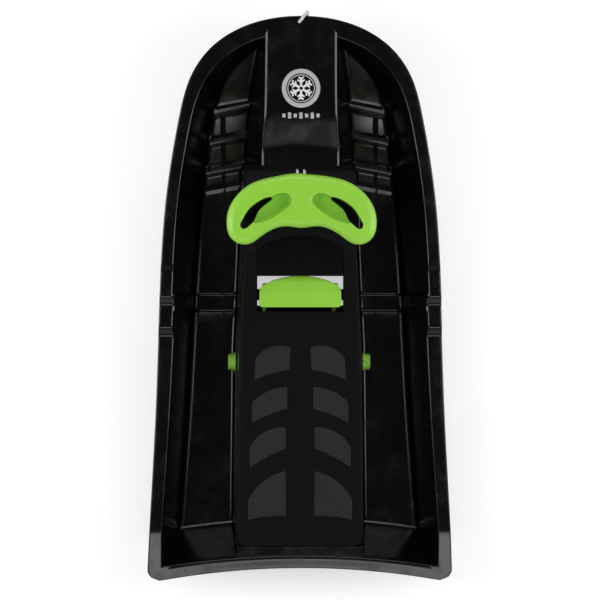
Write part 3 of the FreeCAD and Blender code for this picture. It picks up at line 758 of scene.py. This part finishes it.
def coverRow(y, z, half, low, edge):
    points = [np.array([(half - edge) * k / 14, y, z]) for k in range(15)]
    for angle in (18, 36, 54, 72, 90):
        a = math.radians(angle)
        points.append(np.array([half - edge + edge * math.sin(a), y, z - edge + edge * math.cos(a)]))
    for share in (0.4, 0.8, 1.0):
        points.append(np.array([half, y, z - edge + (low - z + edge) * share]))
    return points


def coverTop(y):
    return softAlong(hull["seat"], y, 3.0)


coverRows = []
face = coverRow(250.0, 169.0, seatHalf(250), 146, 3.0)
coverRows.append([np.array([p[0], 250.0, 146.0]) for p in face])
coverRows.append([np.array([p[0], 250.0, min(p[2], 166.0)]) for p in face])
for y in ([249.6, 248.4, 246.5] + [244 - 2 * k for k in range(28)] + [188 - 6 * k for k in range(7)]
          + [150 - 3 * k for k in range(22)] + [84 - 8 * k for k in range(64)] + [-430, -434, -438, -442]):
    coverRows.append(coverRow(y, coverTop(min(y, 248.0)), seatHalf(y), along(cover["low"], y), cover["edge"]))
for angle in (0, 15, 30, 45, 60, 75, 90):
    a = math.radians(angle)
    y = -446 - 14 * math.sin(a)
    half = seatHalf(y) - 14 * (1 - math.cos(a))
    z = coverTop(max(y, -457)) - (2.0 * ease((angle - 60) / 30))
    coverRows.append(coverRow(y, z, half, along(cover["low"], y), cover["edge"]))
coverRows.append([np.array([p[0], -460.0, min(p[2], 116.5)]) for p in coverRows[-1]])
coverRows.append([np.array([p[0], -460.0, 103.0]) for p in coverRows[-1]])
seatCover = halfLoft("seatCover", coverRows)
facingUp(seatCover)
bothSides(seatCover)
useModifier(seatCover, "SOLIDIFY", thickness=cover["skin"], offset=-1.0, use_even_offset=False)
cutBy(seatCover, wellCutter(1.5, 90.0, 230.0))
for x in (-6.5, 6.5):
    bpy.ops.object.select_all(action="DESELECT")
    bpy.ops.mesh.primitive_cylinder_add(vertices=32, radius=0.0038, depth=0.07,
                                        location=(x / 1000, 0.2415, 0.185))
    cutBy(seatCover, bpy.context.object)
useModifier(seatCover, "BEVEL", width=0.0006, segments=2, limit_method="ANGLE", angle_limit=math.radians(50))
smoothed(seatCover, 30)
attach(seatCover, "sled")
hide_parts("seat_cover")
print("seat cover, faces", len(seatCover.data.polygons))


# eight pads, each a pillow of foam pressed into its own recess
pads = dict(proud=0.8, dome=0.7, rows=[
    dict(inner=(18, 21), outer=(83, 86), front=(-88, -108), rear=(-130, -149), crown=(69, -94)),
    dict(inner=(24, 24.5), outer=(90, 90), front=(-161, -190), rear=(-203, -229), crown=(63, -171)),
    dict(inner=(27, 26.5), outer=(95, 94), front=(-237, -276), rear=(-277, -312), crown=(76, -252)),
    dict(inner=(27, 26.5), outer=(97, 97), front=(-318, -371), rear=(-403, -410), crown=(62, -333)),
])


# point at share t of the circle through a, b and c
def arcThrough(a, b, c, t):
    ax, ay, bx, by, cx, cy = *a, *b, *c
    d = 2 * (ax * (by - cy) + bx * (cy - ay) + cx * (ay - by))
    aa, bb, cc = ax * ax + ay * ay, bx * bx + by * by, cx * cx + cy * cy
    ux = (aa * (by - cy) + bb * (cy - ay) + cc * (ay - by)) / d
    uy = (aa * (cx - bx) + bb * (ax - cx) + cc * (bx - ax)) / d
    radius = math.hypot(ax - ux, ay - uy)
    first, last = math.atan2(ay - uy, ax - ux), math.atan2(cy - uy, cx - ux)
    turn = (last - first + math.pi) % (2 * math.pi) - math.pi
    angle = first + turn * t
    return np.array([ux + radius * math.cos(angle), uy + radius * math.sin(angle)])


def makePad(number, side):
    row = pads["rows"][number]
    a = np.array([row["inner"][0], row["front"][0]], float)
    c = np.array([row["outer"][0], row["front"][1]], float)
    d = np.array([row["outer"][1], row["rear"][1]], float)
    e = np.array([row["inner"][1], row["rear"][0]], float)
    b = np.array(row["crown"], float)
    sag = (d + e) / 2 + np.array([0, 3.0])
    steps = [0.0, 0.0, 0.007, 0.022, 0.05] + [0.05 + 0.9 * k / 12 for k in range(1, 12)]
    steps += [0.95, 0.978, 0.993, 1.0, 1.0]
    lifts = [-1.15, 0.1, 0.5, 0.75, 0.86] + [1.0] * 11 + [0.86, 0.75, 0.5, 0.1, -1.15]
    rows = []
    for j, v in enumerate(steps):
        line = []
        for i, u in enumerate(steps):
            top, low = arcThrough(a, b, c, u), arcThrough(e, sag, d, u)
            left, right = a + (e - a) * v, c + (d - c) * v
            spot = top * (1 - v) + low * v + left * (1 - u) + right * u
            spot = spot - (a * (1 - u) * (1 - v) + c * u * (1 - v) + e * (1 - u) * v + d * u * v)
            cornerPull = (abs(2 * u - 1) * abs(2 * v - 1)) ** 12 * 0.022
            middle = (a + c + d + e) / 4
            spot = spot + (middle - spot) * cornerPull
            lift = min(lifts[i], lifts[j])
            dome = pads["dome"] * (1 - (2 * u - 1) ** 4) * (1 - (2 * v - 1) ** 4) if lift > 0.8 else 0.0
            z = along(hull["seat"], spot[1]) + (lift * pads["proud"] if lift > 0 else lift) + dome
            line.append(np.array([spot[0] * side, spot[1], z]))
        rows.append(line)
    name = "pad%d%s" % (number + 1, "Right" if side > 0 else "Left")
    pad = shapedGrid(name, rows)
    bpy.ops.object.select_all(action="DESELECT")
    pad.select_set(True)
    bpy.context.view_layer.objects.active = pad
    facingUp(pad)
    useModifier(pad, "SUBSURF", levels=1, render_levels=1)
    smoothed(pad, 60)
    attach(pad, "sled")
    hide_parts("pad_row_%d_%s" % (number + 1, "right" if side > 0 else "left"))
    return pad


padPieces = [makePad(number, side) for number in range(4) for side in (-1, 1)]
print("pads", len(padPieces))


# green mouldings: the CAD shapes remeshed finely and relaxed, so that every edge rolls over as on a
# blown or moulded part; extrudes and bevels leave creases where the webs run into the bars
def rounded(nodeName, name, voxel, passes):
    piece = nodes[nodeName].copy()
    piece.data = nodes[nodeName].data.copy()
    piece.parent = None
    for key in list(piece.keys()):
        del piece[key]
    bpy.context.scene.collection.objects.link(piece)
    piece.name = piece.data.name = name
    editAll(piece, weld(0.00001))
    useModifier(piece, "REMESH", mode="VOXEL", voxel_size=voxel)
    useModifier(piece, "SMOOTH", factor=0.5, iterations=passes)
    bpy.ops.object.select_all(action="DESELECT")
    piece.select_set(True)
    bpy.context.view_layer.objects.active = piece
    bpy.ops.object.shade_smooth()
    return piece


handle = rounded("handle", "handleYoke", 0.0016, 9)
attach(handle, "grab_handle")
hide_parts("handle")
lever = rounded("brake_lever", "brakeLever", 0.0013, 4)
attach(lever, "brake")
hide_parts("brake_lever")
print("handle and lever, faces", len(handle.data.polygons), len(lever.data.polygons))


# tow rope: three twisted strands on the smooth line of its route
rope = dict(strand=1.62, offset=1.38, pitch=22.0, sides=9, step=1.4)
ropeStrand = [(214, 218), (214, 201.5), (241, 187), (243, 140), (262, 108),
              (325, 112), (405, 150), (455, 172), (494, 181)]
ropePoints = [(-6.5, y, z) for y, z in ropeStrand]
ropePoints += [(-3.5, 513.5, 186), (-3.5, 513.5, 212), (2, 520, 222),
               (10, 531, 219), (12, 534, 200), (11, 527, 182)]
ropePoints += [(6.5, y, z) for y, z in reversed(ropeStrand)]


# points read from the NURBS spline that has the route as its control points
def smoothLine(points):
    curve = bpy.data.curves.new("ropeLine", "CURVE")
    curve.dimensions = "3D"
    curve.resolution_u = 16
    spline = curve.splines.new("NURBS")
    spline.points.add(len(points) - 1)
    for point, spot in zip(spline.points, points):
        point.co = (spot[0] / 1000, spot[1] / 1000, spot[2] / 1000, 1.0)
    spline.order_u = 3
    spline.use_endpoint_u = True
    holder = bpy.data.objects.new("ropeLine", curve)
    bpy.context.scene.collection.objects.link(holder)
    bpy.context.view_layer.update()
    mesh = bpy.data.meshes.new_from_object(holder.evaluated_get(bpy.context.evaluated_depsgraph_get()))
    line = np.array([vertex.co for vertex in mesh.vertices]) * 1000
    bpy.data.objects.remove(holder)
    bpy.data.meshes.remove(mesh)
    return line


def evenly(line, step):
    far = np.concatenate([[0], np.cumsum(np.linalg.norm(np.diff(line, axis=0), axis=1))])
    marks = np.linspace(0, far[-1], int(far[-1] / step) + 1)
    return np.stack([np.interp(marks, far, line[:, k]) for k in range(3)], axis=1), marks


ropeLine, ropeMarks = evenly(smoothLine(ropePoints), rope["step"])
tangents = np.gradient(ropeLine, axis=0)
tangents /= np.linalg.norm(tangents, axis=1)[:, None]
frames, normal = [], np.array([1.0, 0, 0])
for tangent in tangents:
    normal = normal - tangent * (normal @ tangent)
    normal /= np.linalg.norm(normal)
    frames.append((normal, np.cross(tangent, normal)))
strands = []
for number in range(3):
    rows = []
    for place, far, (u, v) in zip(ropeLine, ropeMarks, frames):
        turn = 2 * math.pi * (far / rope["pitch"] + number / 3)
        centre = place + rope["offset"] * (u * math.cos(turn) + v * math.sin(turn))
        rows.append([centre + rope["strand"] * (u * math.cos(a) + v * math.sin(a))
                     for a in [2 * math.pi * k / rope["sides"] for k in range(rope["sides"] + 1)]])
    strands.append(shapedGrid("strand%d" % number, rows))
towRope = joined("towRope", strands)
editAll(towRope, weld(0.000002), lambda: bpy.ops.mesh.fill_holes(sides=40), outward)
smoothed(towRope, 70)
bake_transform(towRope)
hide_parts("tow_rope")
print("rope, faces", len(towRope.data.polygons), "length", round(float(ropeMarks[-1]), 1))


# printed mark on the nose: a plain snow crystal in a ring over a row of short bars
mark = dict(middle=(0.0, 392.0))


def ridgeTop(y):
    return softAlong(hull["ridge"], y, 7) + 0.06


def flatBar(x, y, length, width, angle, lift=0.0):
    bpy.ops.object.select_all(action="DESELECT")
    bpy.ops.mesh.primitive_plane_add(size=1.0, location=(0, 0, 0))
    bar = bpy.context.object
    bar.scale = (width / 1000, length / 1000, 1)
    bar.rotation_euler = (0, 0, angle)
    bar.location = (x / 1000, y / 1000, lift / 1000)
    bpy.ops.object.transform_apply(location=True, rotation=True, scale=True)
    return bar


def flatRing(x, y, outer, inner, start, turn, lift=0.0):
    count = max(6, int(abs(turn) / 5))
    angles = [math.radians(start + turn * k / count) for k in range(count + 1)]
    ring = shapedGrid("ring", [[np.array([x + r * math.cos(a), y + r * math.sin(a), lift]) for a in angles]
                               for r in (inner, outer)])
    facingUp(ring)
    return ring


def layOnRidge(name, parts):
    whole = joined(name, parts)
    editAll(whole, lambda: bpy.ops.mesh.subdivide(number_cuts=2))
    for vertex in whole.data.vertices:
        vertex.co.z = vertex.co.z + ridgeTop(vertex.co.y * 1000) / 1000
    useModifier(whole, "SOLIDIFY", thickness=0.0002, offset=1.0)
    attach(whole, "sled")
    return whole


cx, cy = mark["middle"]
paleParts, greyParts = [], []
for k in range(6):
    a = math.radians(60 * k)
    dx, dy = -math.sin(a), math.cos(a)
    paleParts.append(flatBar(cx + dx * 11.5, cy + dy * 11.5, 17.0, 4.2, a, 0.02 * k))
    for far, length in ((11.0, 8.0), (17.0, 6.0)):
        for turn in (-1, 1):
            b = a + turn * math.radians(55)
            sx, sy = -math.sin(b), math.cos(b)
            paleParts.append(flatBar(cx + dx * far + sx * length / 2, cy + dy * far + sy * length / 2,
                                     length, 2.8, b, 0.02 * k + 0.01))
greyParts.append(flatRing(cx, cy, 35.5, 27.5, 0, 360, 0.0))
greyParts.append(flatRing(cx, cy, 25.4, 23.6, 0, 360, 0.0))
for k in range(7):
    greyParts.append(flatBar(-31.5 + 10.5 * k, 342.0, 11.0 if k % 2 else 7.0, 6.0, 0.0))
paleMark = layOnRidge("noseMarkPale", paleParts)
greyMark = layOnRidge("noseMarkGrey", greyParts)
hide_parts("nose_graphic")
print("nose mark")


# materials
# moulded surface relief on object coordinates
def noiseBump(material, shader, scale, strength, distance, detail=2.0, coords=None, stretch=None):
    spot = coords or addNode(material, "TexCoord").outputs["Object"]
    if stretch:
        spot = addNode(material, "Mapping", values={"Scale": stretch}, links={"Vector": spot}).outputs[0]
    noise = addNode(material, "TexNoise", values={"Scale": scale, "Detail": detail}, links={"Vector": spot})
    bump = addNode(material, "Bump", values={"Strength": strength, "Distance": distance},
                   links={"Height": noise.outputs["Fac"]})
    material.node_tree.links.new(bump.outputs[0], shader.inputs["Normal"])
    return spot, noise, bump


# High density polyethylene, injection moulded in a polished tool: near black, wet looking, with the slow
# waviness of a big moulding and faint hazy scuffs
hullPlastic, shader = newMaterial("mouldedPolyethyleneGlossBlack",
    Base_Color=linear("#030404"), Roughness=0.2, IOR=1.5, Specular_IOR_Level=0.5)
spot, _, bump = noiseBump(hullPlastic, shader, 9.0, 0.22, 0.004, 1.5)      # waves about 110 mm long
scuff = addNode(hullPlastic, "TexNoise", values={"Scale": 26.0, "Detail": 6.0, "Roughness": 0.62},
                links={"Vector": spot})                                       # scuffed patches, 40 mm
scuffRamp = addNode(hullPlastic, "ValToRGB", links={"Fac": scuff.outputs["Fac"]})
scuffRamp.color_ramp.elements[0].position, scuffRamp.color_ramp.elements[1].position = 0.45, 0.72
scuffRamp.color_ramp.elements[0].color = (0.19, 0.19, 0.19, 1)
scuffRamp.color_ramp.elements[1].color = (0.33, 0.33, 0.33, 1)
hullPlastic.node_tree.links.new(scuffRamp.outputs[0], shader.inputs["Roughness"])
fine = addNode(hullPlastic, "TexNoise", values={"Scale": 900.0, "Detail": 1.0}, links={"Vector": spot})
fineBump = addNode(hullPlastic, "Bump", values={"Strength": 0.05, "Distance": 0.0004},
                   links={"Height": fine.outputs["Fac"], "Normal": bump.outputs[0]})
hullPlastic.node_tree.links.new(fineBump.outputs[0], shader.inputs["Normal"])

# Polypropylene moulded in a spark eroded tool: even matte black with a fine pebble
coverPlastic, shader = newMaterial("texturedPolypropyleneMatteBlack",
    Base_Color=linear("#070808"), Roughness=0.5, IOR=1.49, Specular_IOR_Level=0.1)
spot, _, _ = noiseBump(coverPlastic, shader, 700.0, 0.35, 0.0005, 2.0)     # 1.4 mm pebble
tone = addNode(coverPlastic, "TexNoise", values={"Scale": 14.0, "Detail": 3.0}, links={"Vector": spot})
toneRamp = addNode(coverPlastic, "ValToRGB", links={"Fac": tone.outputs["Fac"]})
toneRamp.color_ramp.elements[0].color = linear("#060707")
toneRamp.color_ramp.elements[1].color = linear("#090a0a")
coverPlastic.node_tree.links.new(toneRamp.outputs[0], shader.inputs["Base Color"])

# EVA foam, die cut and embossed: dusty charcoal with a coarse grip grain
padFoam, shader = newMaterial("embossedEvaFoamCharcoal",
    Base_Color=linear("#202121"), Roughness=0.86, IOR=1.45, Specular_IOR_Level=0.35)
spot = addNode(padFoam, "TexCoord").outputs["Object"]
cells = addNode(padFoam, "TexVoronoi", values={"Scale": 420.0, "Randomness": 0.9},
                links={"Vector": spot})                                       # 2.4 mm grip dots
cellBump = addNode(padFoam, "Bump", values={"Strength": 0.7, "Distance": 0.0007},
                   links={"Height": cells.outputs["Distance"]})
padFoam.node_tree.links.new(cellBump.outputs[0], shader.inputs["Normal"])
speck = addNode(padFoam, "TexNoise", values={"Scale": 300.0, "Detail": 3.0, "Roughness": 0.7},
                links={"Vector": spot})
speckRamp = addNode(padFoam, "ValToRGB", links={"Fac": speck.outputs["Fac"]})
speckRamp.color_ramp.elements[0].position, speckRamp.color_ramp.elements[1].position = 0.32, 0.72
speckRamp.color_ramp.elements[0].color = linear("#171818")
speckRamp.color_ramp.elements[1].color = linear("#2b2c2c")
padFoam.node_tree.links.new(speckRamp.outputs[0], shader.inputs["Base Color"])

# Coloured polypropylene, satin from the tool: fresh green whose thin edges glow a little
greenPlastic, shader = newMaterial("mouldedPolypropyleneSatinGreen",
    Base_Color=linear("#94d241"), Roughness=0.34,
    IOR=1.49, Subsurface_Weight=0.08, Subsurface_Scale=0.004)
spot, _, _ = noiseBump(greenPlastic, shader, 650.0, 0.06, 0.0004, 2.0)  # 1.5 mm satin grain
tone = addNode(greenPlastic, "TexNoise", values={"Scale": 18.0, "Detail": 2.0}, links={"Vector": spot})
toneRamp = addNode(greenPlastic, "ValToRGB", links={"Fac": tone.outputs["Fac"]})
toneRamp.color_ramp.elements[0].color = linear("#8fcc3d")
toneRamp.color_ramp.elements[1].color = linear("#98d645")
greenPlastic.node_tree.links.new(toneRamp.outputs[0], shader.inputs["Base Color"])

# Zinc plated sheet steel, stamped: bluish grey metal with drawn streaks
clawSteel, shader = newMaterial("stampedSteelZincPlated",
    Base_Color=linear("#b4b6b8"), Metallic=1.0, Roughness=0.36)
spot, _, _ = noiseBump(clawSteel, shader, 120.0, 0.12, 0.0004, 3.0, stretch=(8.0, 1.0, 1.0))
spangle = addNode(clawSteel, "TexVoronoi", values={"Scale": 160.0}, links={"Vector": spot})
spangleRamp = addNode(clawSteel, "ValToRGB", links={"Fac": spangle.outputs["Distance"]})
spangleRamp.color_ramp.elements[0].color = (0.30, 0.30, 0.30, 1)
spangleRamp.color_ramp.elements[1].color = (0.46, 0.46, 0.46, 1)
clawSteel.node_tree.links.new(spangleRamp.outputs[0], shader.inputs["Roughness"])

# Cold headed steel screws, zinc plated: brighter and smoother than the claw
screwSteel, shader = newMaterial("headedSteelScrewZinc",
    Base_Color=linear("#c4c5c6"), Metallic=1.0, Roughness=0.28)
noiseBump(screwSteel, shader, 900.0, 0.1, 0.0002, 2.0)

# Twisted polypropylene fibre: off white, dry, with the filaments running along each strand
ropeFibre, shader = newMaterial("twistedPolypropyleneRopeWhite",
    Base_Color=linear("#d9d8d2"), Roughness=0.7, IOR=1.49)
spot, fibre, _ = noiseBump(ropeFibre, shader, 2200.0, 0.4, 0.0003, 2.0)      # filaments drawn at 0.5 mm
fibreRamp = addNode(ropeFibre, "ValToRGB", links={"Fac": fibre.outputs["Fac"]})
fibreRamp.color_ramp.elements[0].color = linear("#c3c2bb")
fibreRamp.color_ramp.elements[1].color = linear("#ecebe6")
ropeFibre.node_tree.links.new(fibreRamp.outputs[0], shader.inputs["Base Color"])

# Screen printed vinyl ink: flat and slightly dry, with tiny pinholes in the print
def printInk(name, low, high):
    material, shader = newMaterial(name, Base_Color=linear(high), Roughness=0.45, IOR=1.5)
    _, pin, _ = noiseBump(material, shader, 1500.0, 0.08, 0.0001, 2.0)
    ramp = addNode(material, "ValToRGB", links={"Fac": pin.outputs["Fac"]})
    ramp.color_ramp.elements[0].position, ramp.color_ramp.elements[1].position = 0.25, 0.5
    ramp.color_ramp.elements[0].color, ramp.color_ramp.elements[1].color = linear(low), linear(high)
    material.node_tree.links.new(ramp.outputs[0], shader.inputs["Base Color"])
    return material


paleInk = printInk("screenPrintInkPale", "#d4d4d8", "#e4e4e8")
greyInk = printInk("screenPrintInkGrey", "#9c9ca0", "#b4b4b8")

# The same polyethylene inside the well, with its reflection turned almost off: painted shade, so that the
# well stays as dark as the shade inside it
wellShadePlastic, shader = newMaterial("polyethyleneDullBlackPaintedShade",
    Base_Color=linear("#030404"), Roughness=0.62, IOR=1.5, Specular_IOR_Level=0.06)
noiseBump(wellShadePlastic, shader, 800.0, 0.2, 0.0004, 2.0)                        # 1.2 mm grit

finishWith(shell, hullPlastic)
# the slope and strap in the well get the barely reflecting black that stands in for shade
finishWith(panel, wellShadePlastic)
finishWith(seatCover, coverPlastic)
for pad in padPieces:
    finishWith(pad, padFoam)
greenNodes = [nodes[name] for name in ("brake_pin_left", "brake_pin_right", "handle", "brake_lever")]
for piece in [handle, lever] + greenNodes:
    finishWith(piece, greenPlastic)
finishWith(towRope, ropeFibre)
finishWith(nodes["rope_knots"], ropeFibre)
finishWith(paleMark, paleInk)
finishWith(greyMark, greyInk)
finishWith(nodes["brake_claw"], clawSteel)
finishWith(nodes["claw_screws"], screwSteel)
finishWith(nodes["cover_screws"], screwSteel)
print("materials")

bpy.ops.mesh.primitive_plane_add(size=40.0, location=(0, 0, -0.0005))
floor = bpy.context.object
floor.name = "studioFloor"
# Backlit paper, as on a light table: it also glows through the sled's openings
floorPaper, shader = newMaterial("studioPaperWhite",
    Base_Color=linear("#d6d6d6"), Roughness=0.9, Emission_Color=(1, 1, 1, 1), Emission_Strength=0.52)
noiseBump(floorPaper, shader, 400.0, 0.02, 0.0004, 2.0)
finishWith(floor, floorPaper)
floor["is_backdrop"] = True

low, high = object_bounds()
